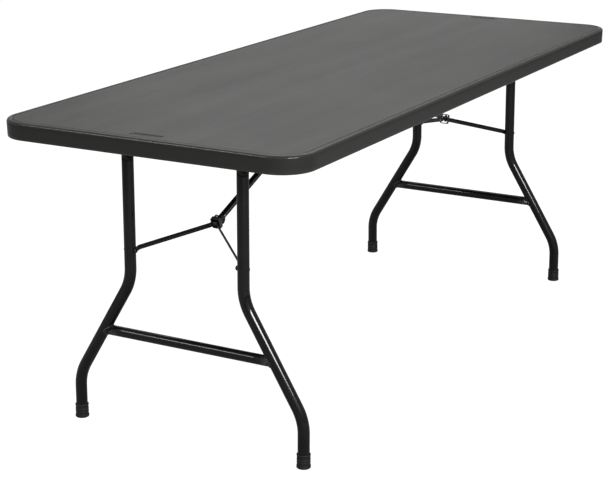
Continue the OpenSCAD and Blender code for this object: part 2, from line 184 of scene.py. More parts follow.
def dimple_rise(x, y):
    """How far the underside rises into each dimple: a cone with a flat end and soft shoulders."""
    pitch_x = 2 * core_x / dimple_columns
    pitch_y = 2 * core_y / dimple_rows
    from_x = (x + core_x) % pitch_x - pitch_x / 2
    from_y = (y + core_y) % pitch_y - pitch_y / 2
    reach = np.hypot(from_x, from_y)
    return dimple_depth * (1 - smooth_step(dimple_floor, dimple_mouth, reach))


def rim_rows():
    """Rim section as rows of inset and height, from the field over the edge to the underside."""
    rows = [(60, -0.3), (54, -0.3)]
    rows += [(inset, -0.3) for inset in (50, 46.5, 45.4, 44.95, 44.6, 44, 42, 38, 34, 30)]
    rows += [(inset, -0.3) for inset in (27, 26, 25.4, 25.05, 24.6, 23, 20, 17, 14.6)]
    rows += [(14.2, -0.6), (13.4, -2.3), (12.2, -3.0), (11.2, -2.3), (10.6, -0.4), (10.1, -0.02)]
    bend = np.radians(np.linspace(0, 90, 9))
    rounding = edge_rounding / MM
    rows += [(rounding * (1 - math.sin(a)), -rounding * (1 - math.cos(a))) for a in bend]
    drop = skirt_depth / MM
    rows += [(0.15, -16), (0.4, -25), (0.6, -drop + 5)]
    foot = np.radians(np.linspace(20, 160, 8))
    wall = skirt_width / MM
    rows += [(0.6 + 2.6 * (1 - math.cos(a)), -drop + 3 * (1 - math.sin(a))) for a in foot]
    rows += [(wall - 5, -drop + 0.4), (wall - 1.5, -drop + 2), (wall - 0.3, -drop + 5)]
    under = -panel_thickness / MM
    rows += [(wall, under - 6), (wall + 1, under - 2), (wall + 3.5, under - 0.4), (wall + 7, under)]
    rows += [(38, under), (56, under)]
    return np.array(rows) * MM


core_x = half_length - corner_radius
core_y = half_width - corner_radius
badge_lines = np.array([20, 31, 35, 37, 38.3, 39.1, 39.45, 39.9, 41]) * MM
lines_x = field_lines(core_x, dimple_columns)
lines_y = field_lines(core_y, dimple_rows, [*badge_lines, *-badge_lines])
count_x, count_y = len(lines_x), len(lines_y)
fan_steps = 12


def border_walk():
    """Anticlockwise walk round the field's border: grid index, base point and outward direction
    of each step, with a fan of directions at each corner."""
    index, base, headings = [], [], []
    walks = [([(i, 0) for i in range(count_x)], -90),
             ([(count_x - 1, j) for j in range(count_y)], 0),
             ([(i, count_y - 1) for i in range(count_x)][::-1], 90),
             ([(0, j) for j in range(count_y)][::-1], 180)]
    for cells, angle in walks:
        for i, j in cells:
            index.append(i * count_y + j)
            base.append((lines_x[i], lines_y[j]))
            headings.append(angle)
        for step in range(1, fan_steps):
            index.append(index[-1])
            base.append(base[-1])
            headings.append(angle + 90 * step / fan_steps)
    turn = np.radians(headings)
    return index, np.array(base), np.stack([np.cos(turn), np.sin(turn)], -1)


def tabletop_mesh():
    """Top field, rim rows swept round the rounded rectangle, and underside field, as one skin."""
    grid_x, grid_y = np.meshgrid(lines_x, lines_y, indexing="ij")
    top = np.stack([grid_x, grid_y, surface_z - field_drop + surface_wave(grid_x, grid_y)], -1)
    under = np.stack([grid_x, grid_y, under_z + dimple_rise(grid_x, grid_y)], -1)
    index, base, away = border_walk()
    rows = rim_rows()
    reach = corner_radius - rows[:, 0]
    rim_xy = base[None] + reach[:, None, None] * away[None]
    rim_z = np.broadcast_to((surface_z + rows[:, 1])[:, None], rim_xy.shape[:2]).copy()
    on_top = rows[:, 0] > groove_inset + 1 * MM
    on_top &= rows[:, 1] > -5 * MM
    cut = badge_cut(rim_xy[..., 0], rim_xy[..., 1])
    rim_z -= on_top[:, None] * (cut - surface_wave(rim_xy[..., 0], rim_xy[..., 1]))
    rim = np.concatenate([rim_xy, rim_z[..., None]], -1)
    size = count_x * count_y
    steps = len(index)
    points = np.concatenate([top.reshape(-1, 3), under.reshape(-1, 3), rim.reshape(-1, 3)])
    faces = [face[::-1] for face in grid_faces(count_x, count_y)]
    faces += grid_faces(count_x, count_y, size)
    faces += [face[::-1] for face in grid_faces(len(rows), steps, 2 * size, wrap=True)]
    last = 2 * size + (len(rows) - 1) * steps
    for step in range(steps):
        after = (step + 1) % steps
        first, second = index[step], index[after]
        outer = [2 * size + after, 2 * size + step]
        inner = [last + step, last + after]
        faces.append([first, second, *outer][::-1] if first != second else [first, *outer][::-1])
        low_edge = [second + size, first + size] if first != second else [first + size]
        faces.append([*inner, *low_edge][::-1])
    return points, faces


tabletop = outward(make_piece("moulded_tabletop", *tabletop_mesh()))

# ---------------------------------------------------------------------------------------------
# The moulding's finish. Polyethylene with a fine pebbled grain pressed in by the mould, faint long
# streaks of painted sheen on the level top, slightly polished edges and a little dust in the
# hollows.
def add_node(tree, kind, links=(), **settings):
    """A node with its settings, and its inputs either linked to a socket or given a value."""
    node = tree.nodes.new(kind)
    for key, value in settings.items():
        setattr(node, key, value)
    for key, value in dict(links).items():
        if isinstance(value, bpy.types.NodeSocket):
            tree.links.new(value, node.inputs[key])
        else:
            node.inputs[key].default_value = value
    return node


def blend_of(tree, low, high, factor):
    """Mix of two colours, each a socket or an RGBA value."""
    inputs = {0: factor, 6: low, 7: high}
    return add_node(tree, "ShaderNodeMix", inputs, data_type="RGBA").outputs[2]


def ranged(tree, value, low, high, to_low=0.0, to_high=1.0):
    """Map a socket's low..high to another range, held at both ends."""
    node = add_node(tree, "ShaderNodeMapRange", {0: value, 1: low, 2: high, 3: to_low, 4: to_high})
    return node.outputs[0]


def joined(tree, operation, first, second):
    """Two values put together by a sum, a product or the greater of them."""
    return add_node(tree, "ShaderNodeMath", {0: first, 1: second}, operation=operation).outputs[0]


def object_place(tree):
    """Coordinates that stay with the object."""
    return add_node(tree, "ShaderNodeTexCoord").outputs["Object"]


def stretched(tree, place, scale):
    """Coordinates scaled by axis."""
    return add_node(tree, "ShaderNodeMapping", {"Vector": place, "Scale": scale}).outputs[0]


def noise(tree, place, scale, detail, roughness=0.5):
    """Grey noise."""
    inputs = {"Vector": place, "Scale": scale, "Detail": detail, "Roughness": roughness}
    return add_node(tree, "ShaderNodeTexNoise", inputs).outputs["Fac"]


def facing_up(tree, low, high):
    """0 to 1 as a face turns from the side to level."""
    normal = add_node(tree, "ShaderNodeNewGeometry").outputs["Normal"]
    return ranged(tree, add_node(tree, "ShaderNodeSeparateXYZ", {0: normal}).outputs["Z"], low, high)


def mask_group(name, scale):
    """An empty node group that makes a Mask from a Scale, with its two inner sockets."""
    group = bpy.data.node_groups.new(name, "ShaderNodeTree")
    socket = group.interface.new_socket("Scale", in_out="INPUT", socket_type="NodeSocketFloat")
    socket.default_value = scale
    group.interface.new_socket("Mask", in_out="OUTPUT", socket_type="NodeSocketFloat")
    inner, outer = group.nodes.new("NodeGroupInput"), group.nodes.new("NodeGroupOutput")
    return group, inner.outputs["Scale"], outer.inputs["Mask"]


def mask_of(tree, group, scale):
    """Place a shared mask in a material."""
    node = tree.nodes.new("ShaderNodeGroup")
    node.node_tree = group
    node.inputs["Scale"].default_value = scale
    return node.outputs["Mask"]


def new_material(name, **constants):
    """A material with its Principled shader; constants go on the shader's own sockets."""
    material = bpy.data.materials.new(name)
    material.use_nodes = True
    shader = material.node_tree.nodes["Principled BSDF"]
    for key, value in constants.items():
        shader.inputs[key.replace("_", " ")].default_value = value
    return material, material.node_tree, shader


def set_surface(tree, shader, colour, rough, height=None, strength=0.0, distance=0.0):
    """Link colour, roughness and, where there is a height, a fine bump to the shader."""
    tree.links.new(colour, shader.inputs["Base Color"])
    tree.links.new(rough, shader.inputs["Roughness"])
    if height:
        bump = add_node(tree, "ShaderNodeBump",
                        {"Height": height, "Strength": strength, "Distance": distance})
        tree.links.new(bump.outputs["Normal"], shader.inputs["Normal"])


# Edge wear: bright where the surface turns sharply outwards, broken up by noise.
edge_wear, wear_scale, wear_mask = mask_group("edge_wear", 60.0)
wear_noise = noise(edge_wear, object_place(edge_wear), wear_scale, 4.0)
pointiness = add_node(edge_wear, "ShaderNodeNewGeometry").outputs["Pointiness"]
wear_turn = ranged(edge_wear, pointiness, 0.51, 0.56)
edge_wear.links.new(joined(edge_wear, "MULTIPLY", wear_turn, wear_noise), wear_mask)

# Settled dust: on faces that look up, in soft patches.
settled_dust, dust_scale, dust_mask = mask_group("settled_dust", 8.0)
dust_noise = noise(settled_dust, object_place(settled_dust), dust_scale, 6.0, 0.6)
dust_patch = ranged(settled_dust, dust_noise, 0.42, 0.7)
dust_up = facing_up(settled_dust, 0.2, 0.9)
settled_dust.links.new(joined(settled_dust, "MULTIPLY", dust_patch, dust_up), dust_mask)

# Charcoal polyethylene: paler streaks painted on the level top as sheen, and a rougher face only
# where the surface is level.
charcoal = (0.0235, 0.0235, 0.0220, 1)
# The paler charcoal below is painted sheen, used only for the streaks on the level top.
charcoal_sheen_streak = (0.0325, 0.0325, 0.0305, 1)
charcoal_scuffed = (0.085, 0.085, 0.08, 1)
dust_grey = (0.30, 0.29, 0.27, 1)
rim_gloss = 0.2
plastic, tree, shader = new_material("moulded_charcoal", Specular_IOR_Level=0.35, IOR=1.5)
place = object_place(tree)
flow = noise(tree, stretched(tree, place, (0.7, 7.0, 1.0)), 1.6, 3.0)
# Painted sheen: paler streaks along the length, laid only on level faces where the top's reflections
# fall.
sheen_streaks = noise(tree, stretched(tree, place, (0.9, 45.0, 1.0)), 1.7, 4.0, 0.6)
level_face = facing_up(tree, 0.75, 0.98)
sheen_streak_mask = joined(tree, "MULTIPLY", ranged(tree, sheen_streaks, 0.3, 0.7), level_face)
pebbles = add_node(tree, "ShaderNodeTexVoronoi",
                   {"Vector": place, "Scale": 620.0, "Randomness": 1.0}, feature="SMOOTH_F1")
grain = joined(tree, "ADD", pebbles.outputs["Distance"], noise(tree, place, 900.0, 3.0))
colour = blend_of(tree, charcoal, charcoal_sheen_streak, sheen_streak_mask)
dust_faint = ranged(tree, mask_of(tree, settled_dust, 5.0), 0.0, 1.0, 0.0, 0.03)
colour = blend_of(tree, colour, dust_grey, dust_faint)
colour = blend_of(tree, colour, charcoal_scuffed, mask_of(tree, edge_wear, 45.0))
face_rough = ranged(tree, flow, 0.25, 0.75, 0.44, 0.50)
rough = add_node(tree, "ShaderNodeMix", {0: level_face, 2: rim_gloss, 3: face_rough}).outputs[0]
set_surface(tree, shader, colour, rough, grain, 0.22, 0.0006)
finish_piece(tabletop, "top", "top_plastic", plastic, "tabletop")

# ---------------------------------------------------------------------------------------------
# Leg frames. Each pair of legs is 27 mm steel tube bent to a wishbone, with a stretcher and a
# pivot tube welded across, all powder-coated black. The frame leans out a little when open.
ends = (("left", 1), ("right", -1))
sides = (("front", 1), ("back", -1))
pivot_low, pivot_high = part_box("left_pivot_tube")
pivot = (pivot_low + pivot_high) / 2
pivot_radius = (pivot_high.z - pivot_low.z) / 2
pivot_half = pivot_high.y
leg_lean = math.radians(0.9)
leg_radius = 13.5 * MM
leg_offset, foot_offset = 149 * MM, 299.5 * MM
flare = math.radians(31.2)
bend_radius = 110 * MM
foot_straight = 78 * MM
stretcher_height = 230 * MM
stretcher_radius = 12 * MM
leg_length = pivot.z / math.cos(leg_lean)
foot_sole = 6 * MM
cope_least = 3 * MM
weld_size = 2.1 * MM
weld_steps = 84
top_steps, bend_steps, flare_steps, foot_steps = 12, 15, 8, 6
bend_drop = bend_radius * math.sin(flare)
bend_step = bend_radius * (1 - math.cos(flare))
flare_length = (foot_offset - leg_offset - 2 * bend_step) / math.sin(flare)
flare_top = foot_straight - pivot.z + 2 * bend_drop + flare_length * math.cos(flare)
flare_start = np.array([-leg_offset - bend_step, flare_top - bend_drop])
flare_way = np.array([-math.sin(flare), -math.cos(flare)])


def in_leg_frame(points):
    """From the leg frame's own axes, with the origin on the pivot, to the table's axes."""
    x, y, z = np.asarray(points, float).T
    lean_cos, lean_sin = math.cos(leg_lean), math.sin(leg_lean)
    return np.stack([pivot.x + x * lean_cos + z * lean_sin, y,
                     pivot.z - x * lean_sin + z * lean_cos], -1)


def mirrored(points, end_sign=1, side_sign=1):
    """Left front piece's points, mirrored to another end or side."""
    return np.asarray(points) * np.array([end_sign, side_sign, 1])


def leg_centreline():
    """Points (y, z) and directions of a front leg from its top to its foot: straights and arcs."""
    bends = np.linspace(0, flare, bend_steps)
    upper = np.stack([-leg_offset - bend_radius * (1 - np.cos(bends)),
                      flare_top - bend_radius * np.sin(bends)], -1)
    lower_centre = flare_start + flare_way * flare_length
    lower_centre = lower_centre + bend_radius * np.array([math.cos(flare), -math.sin(flare)])
    lower = np.stack([lower_centre[0] - bend_radius * np.cos(bends[::-1]),
                      lower_centre[1] + bend_radius * np.sin(bends[::-1])], -1)
    top_run = np.stack([np.full(top_steps, -leg_offset),
                        np.linspace(-0.02, flare_top, top_steps + 1)[:-1]], -1)
    foot_end = -leg_length + foot_sole + 1 * MM
    foot_run = np.stack([np.full(foot_steps, -foot_offset),
                         np.linspace(lower[-1, 1], foot_end, foot_steps + 1)[1:]], -1)
    shares = np.linspace(0, 1, flare_steps + 2)[1:-1, None]
    middle = upper[-1] + (lower[0] - upper[-1]) * shares
    angles = np.concatenate([np.zeros(top_steps), bends, np.full(flare_steps, flare),
                             bends[::-1], np.zeros(foot_steps)])
    return np.concatenate([top_run, upper, middle, lower, foot_run]), angles


def tube_skin(line, angles, radius, around=40):
    """Rings of a tube along a line in the YZ plane; each ring stands square to the line."""
    turn = full_turn(around)
    across = np.stack([np.zeros_like(angles), -np.cos(angles), np.sin(angles)], -1)
    centre = np.concatenate([np.zeros((len(line), 1)), line], -1)
    ring = np.sin(turn)[None, :, None] * across[:, None] \
        + np.cos(turn)[None, :, None] * np.array([1.0, 0, 0])
    return centre[:, None] + ring * radius


def close_tube(rings):
    """Faces of a tube's rings with a flat face over each end."""
    rows, around = rings.shape[:2]
    first = list(range(around))
    last = [k + (rows - 1) * around for k in first]
    return grid_faces(rows, around, wrap=True) + [first[::-1], last]


def cope_height(x):
    """Height at which a leg's upper end meets the pivot tube, at x from the leg's middle."""
    beside = np.minimum(np.abs(x), pivot_radius)
    return np.minimum(-np.sqrt(pivot_radius ** 2 - beside ** 2), -cope_least)


def leg_points():
    """A front leg, with its upper end coped to fit under the pivot tube."""
    line, angles = leg_centreline()
    rings = tube_skin(line, angles, leg_radius)
    rings[0, :, 2] = cope_height(rings[0, :, 0])
    return rings


def stretcher_reach(x, z):
    """|y| at which a line along Y at (x, z) from the stretcher's middle meets the flared tube."""
    height = z + stretcher_height - pivot.z
    to_axis = np.sqrt(np.maximum(leg_radius ** 2 - x ** 2, 0))
    on_axis = -flare_start[0] + (flare_start[1] - height) * math.tan(flare)
    return on_axis - to_axis / math.cos(flare)


def stretcher_points(around=40):
    """The stretcher from leg to leg, each end shaped to the flared tube that it meets."""
    turn = full_turn(around)
    x, z = stretcher_radius * np.cos(turn), stretcher_radius * np.sin(turn)
    reach = stretcher_reach(x, z)
    share = np.linspace(-1, 1, 12)[:, None]
    height = np.broadcast_to(z + stretcher_height - pivot.z, (12, around))
    return np.stack([np.broadcast_to(x, height.shape), share * reach, height], -1)


def weld_bead(centre, away, around=8):
    """A rippled fillet along a closed curve; away points from each place on the curve outwards."""
    count = len(centre)
    along = np.roll(centre, -1, 0) - np.roll(centre, 1, 0)
    along /= np.linalg.norm(along, axis=1, keepdims=True)
    side = away - along * np.sum(away * along, -1, keepdims=True)
    side /= np.linalg.norm(side, axis=1, keepdims=True)
    other = np.cross(along, side)
    ripple = weld_size * (1 + 0.12 * np.sin(np.arange(count) * 2 * np.pi * 14 / count))
    turn = full_turn(around)
    ring = np.cos(turn)[None, :, None] * side[:, None] \
        + np.sin(turn)[None, :, None] * other[:, None]
    return centre[:, None] + ring * ripple[:, None, None]


def stretcher_weld():
    """Bead where the stretcher meets the front leg's flare."""
    turn = full_turn(weld_steps)
    x, z = stretcher_radius * np.cos(turn), stretcher_radius * np.sin(turn)
    curve = np.stack([x, -stretcher_reach(x, z), z + stretcher_height - pivot.z], -1)
    away = np.stack([np.cos(turn), 0.5 * np.ones_like(turn), np.sin(turn)], -1)
    return weld_bead(curve, away)


def pivot_weld():
    """Bead where the front leg's coped end meets the pivot tube."""
    turn = full_turn(weld_steps)
    x, y = leg_radius * np.cos(turn), leg_radius * np.sin(turn)
    curve = np.stack([x, y - leg_offset, cope_height(x)], -1)
    away = np.stack([np.cos(turn), np.sin(turn), -0.4 * np.ones_like(turn)], -1)
    return weld_bead(curve, away)


def ring_faces(rings):
    """Faces of a closed loop of rings."""
    rows, around = rings.shape[:2]
    faces = grid_faces(rows + 1, around, wrap=True)
    return [[k % (rows * around) for k in face] for face in faces]


black = (0.0042, 0.0043, 0.0041, 1)
black_pale = (0.0065, 0.0066, 0.0063, 1)
bare_steel = (0.16, 0.155, 0.15, 1)
powder, tree, shader = new_material(
    "black_powder_coat", Specular_IOR_Level=0.08, Coat_Weight=0.55, Coat_Roughness=0.06)
place = object_place(tree)
mottle = noise(tree, place, 30.0, 5.0)
orange_peel = noise(tree, place, 420.0, 2.0)
chips = ranged(tree, mask_of(tree, edge_wear, 120.0), 0.25, 0.6, 0.0, 0.35)
colour = blend_of(tree, black, black_pale, ranged(tree, mottle, 0.35, 0.65))
set_surface(tree, shader, blend_of(tree, colour, bare_steel, chips),
            ranged(tree, mottle, 0.3, 0.7, 0.27, 0.38), orange_peel, 0.12, 0.0004)


def place_rings(name, rings, faces, end_sign, side_sign=1):
    """Mirror a left front piece to its own end and side, in the table's axes."""
    points = in_leg_frame(rings.reshape(-1, 3) * np.array([1, side_sign, 1]))
    return outward(make_piece(name, mirrored(points, end_sign), faces))


for end, end_sign in ends:
    for side, side_sign in sides:
        rings = leg_points()
        leg = place_rings(f"{end}_{side}_leg_tube", rings, close_tube(rings), end_sign, side_sign)
        finish_piece(leg, f"{end}_legs", "black_steel", powder, f"{end}_{side}_leg")
        for label, bead in (("stretcher", stretcher_weld()), ("pivot", pivot_weld())):
            weld = place_rings(f"{end}_{side}_{label}_weld", bead, ring_faces(bead), end_sign,
                               side_sign)
            finish_piece(weld, f"{end}_legs", "black_steel", powder)
    rings = stretcher_points()
    stretcher = place_rings(f"{end}_stretcher_tube", rings, close_tube(rings), end_sign)
    finish_piece(stretcher, f"{end}_legs", "black_steel", powder, f"{end}_stretcher")

# ---------------------------------------------------------------------------------------------
# Feet and small turned pieces. Black plastic caps on the legs, riveted joints, the knee's pin and
# washers, and zinc-plated cross-head screws.
sharp_angle = 38


def turned(profile, around=32):
    """Rings of a turned piece about Z, from rows of radius and height in millimetres."""
    turn = full_turn(around)
    radius, height = np.asarray(profile, float).T[:, :, None] * MM
    flat = np.zeros(around)
    return np.stack([radius * np.cos(turn), radius * np.sin(turn), height + flat], -1)


def crosswise(rings, y=0.0):
    """Turn a piece from the Z axis to the -Y axis, starting at y."""
    x, along, up = np.moveaxis(rings, -1, 0)
    return np.stack([x, y - up, along], -1)


def merged(parts):
    """One list of points and faces from several (points, faces) pairs."""
    points, faces, start = [], [], 0
    for part_points, part_faces in parts:
        flat = np.asarray(part_points).reshape(-1, 3)
        points.append(flat)
        faces += [[start + k for k in face] for face in part_faces]
        start += len(flat)
    return np.concatenate(points), faces


def solid(rings):
    """A stack of rings with its closing faces."""
    return rings, close_tube(rings)


def hollow(rings):
    """A closed loop of rings with its faces."""
    return rings, ring_faces(rings)


def both_sides(parts):
    """The parts and their mirror images at the back."""
    return list(parts) + [(mirrored(points, 1, -1), faces) for points, faces in parts]


def build(name, parts, end_sign=1, place=None):
    """A crisp-edged piece from parts drawn at the left end, placed and mirrored to its own end."""
    points, faces = merged(parts)
    points = place(points) if place else points
    piece = outward(make_piece(name, mirrored(points, end_sign), faces))
    piece.data.set_sharp_from_angle(angle=math.radians(sharp_angle))
    return piece


def dome(radius, height):
    """Rows of a domed head from its rim to its crown."""
    rise = np.radians(np.linspace(0, 88, 7))
    return [(radius * math.cos(a), height * math.sin(a)) for a in rise]


rubber_black, rubber_scuffed = (0.0125, 0.0125, 0.013, 1), (0.05, 0.048, 0.045, 1)
rubber, tree, shader = new_material("foot_plastic", Specular_IOR_Level=0.3)
grain = noise(tree, object_place(tree), 500.0, 4.0)
colour = blend_of(tree, rubber_black, rubber_scuffed, mask_of(tree, edge_wear, 160.0))
set_surface(tree, shader, colour, ranged(tree, grain, 0.3, 0.7, 0.42, 0.6), grain, 0.25, 0.0004)

zinc_blue, zinc_yellow = (0.52, 0.53, 0.55, 1), (0.68, 0.66, 0.60, 1)
zinc, tree, shader = new_material("zinc_plate", Metallic=1.0)
place = object_place(tree)
cloud = noise(tree, place, 170.0, 5.0)
scratch = noise(tree, stretched(tree, place, (1.0, 12.0, 1.0)), 400.0, 2.0)
set_surface(tree, shader, blend_of(tree, zinc_blue, zinc_yellow, cloud),
            ranged(tree, cloud, 0.3, 0.7, 0.26, 0.46), scratch, 0.1, 0.0003)

nylon_dull, nylon_pale = (0.62, 0.61, 0.56, 1), (0.74, 0.73, 0.69, 1)
nylon, tree, shader = new_material(
    "white_nylon", Specular_IOR_Level=0.4, Subsurface_Weight=0.15, Subsurface_Scale=0.002)
cloud = noise(tree, object_place(tree), 90.0, 4.0)
set_surface(tree, shader, blend_of(tree, nylon_dull, nylon_pale, cloud),
            ranged(tree, cloud, 0.3, 0.7, 0.35, 0.5))

foot_low, foot_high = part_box("left_front_foot")
foot_radius = (foot_high.y - foot_low.y) / 2 / MM
leg_bore = leg_radius / MM + 0.05
rib_heights, rib_rise = (14.0, 20.0), 0.5
cap_top, cap_floor = 32.0, foot_sole / MM


def foot_rings():
    """A foot cap on the front leg: a broad sole, a slim waist with two ribs and a rolled lip."""
    waist = foot_radius - 1.0
    rows = [(0.4, -0.6), (foot_radius - 3.6, -0.6)]
    rows += [(foot_radius - 2.6 + 2.6 * math.sin(a), 2.0 - 2.6 * math.cos(a))
             for a in np.radians(np.linspace(0, 90, 6))]
    rows += [(foot_radius, 5.0), (foot_radius - 0.5, 7.0), (waist, 9.0)]
    for rib in rib_heights:
        rows += [(waist, rib - 1.4), (waist + rib_rise, rib - 0.6), (waist + rib_rise, rib + 0.6),
                 (waist, rib + 1.4)]
    rows += [(waist, 27.0), (waist + 0.3, 28.2)]
    rows += [(foot_radius - 1.6 + 1.4 * math.cos(a), 30.8 + 1.9 * math.sin(a))
             for a in np.radians(np.linspace(-50, 110, 8))]
    rows += [(leg_bore, cap_top), (leg_bore, cap_floor), (0.4, cap_floor)]
    rings = turned(rows, 48)
    rings[..., 1] -= foot_offset
    rings[..., 2] -= leg_length
    return rings


def foot_place(points):
    """Into the table's axes, with the sole cut level with the floor."""
    placed = in_leg_frame(points)
    placed[:, 2] = np.maximum(placed[:, 2], 0)
    return placed


rivet_low, rivet_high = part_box("left_arm_rivets")
rivet_at = (rivet_low + rivet_high) / 2
rivet_drop = math.hypot(rivet_at.x - pivot.x, rivet_at.z - pivot.z)


def leg_rivet():
    """The low outer head on the front leg, with its shank through the tube."""
    face = -leg_offset - leg_radius - 0.1 * MM
    rows = [(0.3, -2 * leg_radius / MM), (2.9, -2 * leg_radius / MM), (2.9, -0.1), (5.0, 0)]
    rows += [(r, 0.1 + h) for r, h in dome(5.1, 1.1)]
    rings = crosswise(turned(rows), face)
    rings[..., 2] -= rivet_drop
    return rings


for end, end_sign in ends:
    for side, side_sign in sides:
        foot = build(f"{end}_{side}_foot_cap",
                     [(mirrored(foot_rings(), 1, side_sign), close_tube(foot_rings()))],
                     end_sign, foot_place)
        finish_piece(foot, f"{end}_legs", "foot_plastic", rubber, f"{end}_{side}_foot")
    heads = build(f"{end}_leg_rivet_heads", both_sides([solid(leg_rivet())]), end_sign,
                  in_leg_frame)
    finish_piece(heads, f"{end}_legs", "black_rivet", powder, f"{end}_leg_rivets")

# ---------------------------------------------------------------------------------------------
# Knee braces. Two flat arms spread from the knee to the legs, a channel strut runs up to the
# bracket under the top, and a flat steel collar slides down over the knee to lock it.
joint_of = {joint["name"]: joint for joint in frame["joints"]}
knee = Vector(joint_of["left_knee"]["pos_m"])
strut_pin = Vector(joint_of["left_strut_pivot"]["pos_m"])
strut_length = (strut_pin - knee).length
arm_length = (rivet_at - knee).length
brace_angle = math.atan2(strut_pin.z - knee.z, strut_pin.x - knee.x)
strut_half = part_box("left_strut")[1].y
arm_half_height, arm_half_thickness = 6 * MM, 1.3 * MM
eye_radius = 10 * MM
arm_bend = 10 * MM
cheek_y = strut_half + 0.8 * MM + arm_half_thickness
cheek_length = 19 * MM
tab_y = leg_offset - leg_radius - 0.3 * MM - arm_half_thickness
tab_length = 8 * MM
rib_height, rib_width = 1.5 * MM, 2.8 * MM
channel_wall, channel_depth, tongue_length = 1.8 * MM, 5 * MM, 20 * MM
plug_width, plug_height, plug_corner = 9.6 * MM, 8.4 * MM, 1.2 * MM
collar_height, collar_wall, collar_corner = 27.2 * MM, 1.6 * MM, 3.6 * MM
collar_length, collar_seat = 10 * MM, 13 * MM
stop_distance = 16 * MM
bracket_length, bracket_width, bracket_wall = 62 * MM, 50 * MM, 2 * MM
plate_corner = 7 * MM
ear_radius, ear_gap = 8 * MM, 0.3 * MM


def in_brace_frame(points):
    """From the strut's own axes, with the origin on the knee, to the table's axes."""
    u, y, w = np.asarray(points, float).T
    run, rise = math.cos(brace_angle), math.sin(brace_angle)
    return np.stack([knee.x + u * run - w * rise, y, knee.z + u * rise + w * run], -1)


def box_outline(width, height, corner, steps=6):
    """Corner centres and outward directions round a rounded rectangle."""
    centres, turn = [], []
    for x, y, start in ((1, 1, 0), (-1, 1, 90), (-1, -1, 180), (1, -1, 270)):
        for angle in np.linspace(start, start + 90, steps):
            centres.append((x * (width / 2 - corner), y * (height / 2 - corner)))
            turn.append(math.radians(angle))
    return np.array(centres), np.stack([np.cos(turn), np.sin(turn)], -1)


def box_rings(width, height, corner, rows):
    """Rings of a rounded rectangle in XY; rows give how far each is inset, and its height."""
    centres, outwards = box_outline(width, height, corner)
    rings = []
    for inset, level in rows:
        flat = centres + (corner - inset) * outwards
        rings.append(np.column_stack([flat, np.full(len(flat), level)]))
    return np.array(rings)


def arm_path():
    """Distances from the knee, offsets from the centreline and slants along an arm."""
    run = arm_length - cheek_length - tab_length
    step = tab_y - cheek_y
    slant = math.atan2(step - 2 * arm_bend, run) \
        + math.asin(2 * arm_bend / math.hypot(run, step - 2 * arm_bend))
    eye = -eye_radius * np.cos(np.linspace(0.04, np.pi / 2, 14))
    start = np.concatenate([eye, np.linspace(1.5 * MM, cheek_length, 14)[:-1]])
    turn = np.linspace(0, slant, 9)
    near = np.stack([cheek_length + arm_bend * np.sin(turn),
                     cheek_y + arm_bend * (1 - np.cos(turn))], -1)
    far = np.stack([cheek_length + run - arm_bend * np.sin(turn[::-1]),
                    tab_y - arm_bend * (1 - np.cos(turn[::-1]))], -1)
    middle = near[-1] + (far[0] - near[-1]) * np.linspace(0, 1, 8)[1:-1, None]
    tip = arm_length + arm_half_height * np.sin(np.linspace(0, np.pi / 2 - 0.05, 10))
    start = np.stack([start, np.full(len(start), cheek_y)], -1)
    tip = np.stack([tip, np.full(len(tip), tab_y)], -1)
    angles = np.concatenate([np.zeros(len(start)), turn, np.full(len(middle), slant),
                             turn[::-1], np.zeros(len(tip))])
    return np.concatenate([start, near, middle, far, tip]), angles


def arm_rings():
    """The front arm: a bar with soft edges, a pressed rib, and a round eye and tab."""
    path, angles = arm_path()
    away = path[:, 0]
    height = np.full(len(away), arm_half_height)
    eye = np.sqrt(np.maximum(eye_radius ** 2 - away ** 2, 0))
    height = np.where(away < 0, eye, np.maximum(height, eye))
    past = np.maximum(away - arm_length, 0)
    height = np.where(past > 0, np.sqrt(np.maximum(arm_half_height ** 2 - past ** 2, 0)), height)
    rise = smooth_step(cheek_length + 6 * MM, cheek_length + 20 * MM, away)
    rise *= 1 - smooth_step(arm_length - 24 * MM, arm_length - 12 * MM, away)
    levels = np.linspace(0.92, -0.92, 13)
    rings = []
    for (along, offset), angle, half, rib in zip(path, angles, height, rise):
        corner = min(0.7 * MM, 0.9 * half)
        centres, outwards = box_outline(2 * arm_half_thickness, 2 * half, corner, 4)
        section = centres + corner * outwards
        near = np.column_stack([np.full(13, -arm_half_thickness), levels * (half - corner)])
        far = np.column_stack([np.full(13, arm_half_thickness), -levels * (half - corner)])
        section = np.concatenate([section[:8], near, section[8:], far])
        bulge = np.exp(-(section[:, 1] / rib_width) ** 4)
        section[:, 0] += rib_height * rib * bulge
        rings.append(np.stack([-(along - section[:, 0] * math.sin(angle)),
                               -(offset + section[:, 0] * math.cos(angle)), section[:, 1]], -1))
    return np.array(rings)


def arm_rivet():
    """The domed head inside the front arm's tab, with its shank."""
    shank = 2 * arm_half_thickness / MM + 0.1
    rows = [(0.3, 0), (2.95, 0), (2.95, shank), (5.1, shank + 0.05)]
    rows += [(r, shank + 0.15 + h) for r, h in dome(5.2, 2.8)]
    rings = crosswise(turned(rows), 0)
    rings[..., 1] = -(tab_y + arm_half_thickness) - rings[..., 1]
    rings[..., 0] -= arm_length
    return rings


def knee_pin_rings():
    """The pin through the knee, with softened flush ends."""
    half = (cheek_y + arm_half_thickness) / MM
    rows = [(0.3, -half), (2.3, -half), (2.8, -half + 0.2), (3.0, -half + 0.7)]
    rows += [(r, -h) for r, h in rows[::-1]]
    return crosswise(turned(rows))


def washer_rings():
    """The front nylon washer between the strut and its arm."""
    outer, inner = eye_radius / MM - 2, 3.1
    near, far = strut_half / MM + 0.1, (cheek_y - arm_half_thickness) / MM - 0.1
    rows = [(inner, near), (outer - 0.15, near), (outer, near + 0.15), (outer, far - 0.15),
            (outer - 0.15, far), (inner, far)]
    return crosswise(turned(rows))


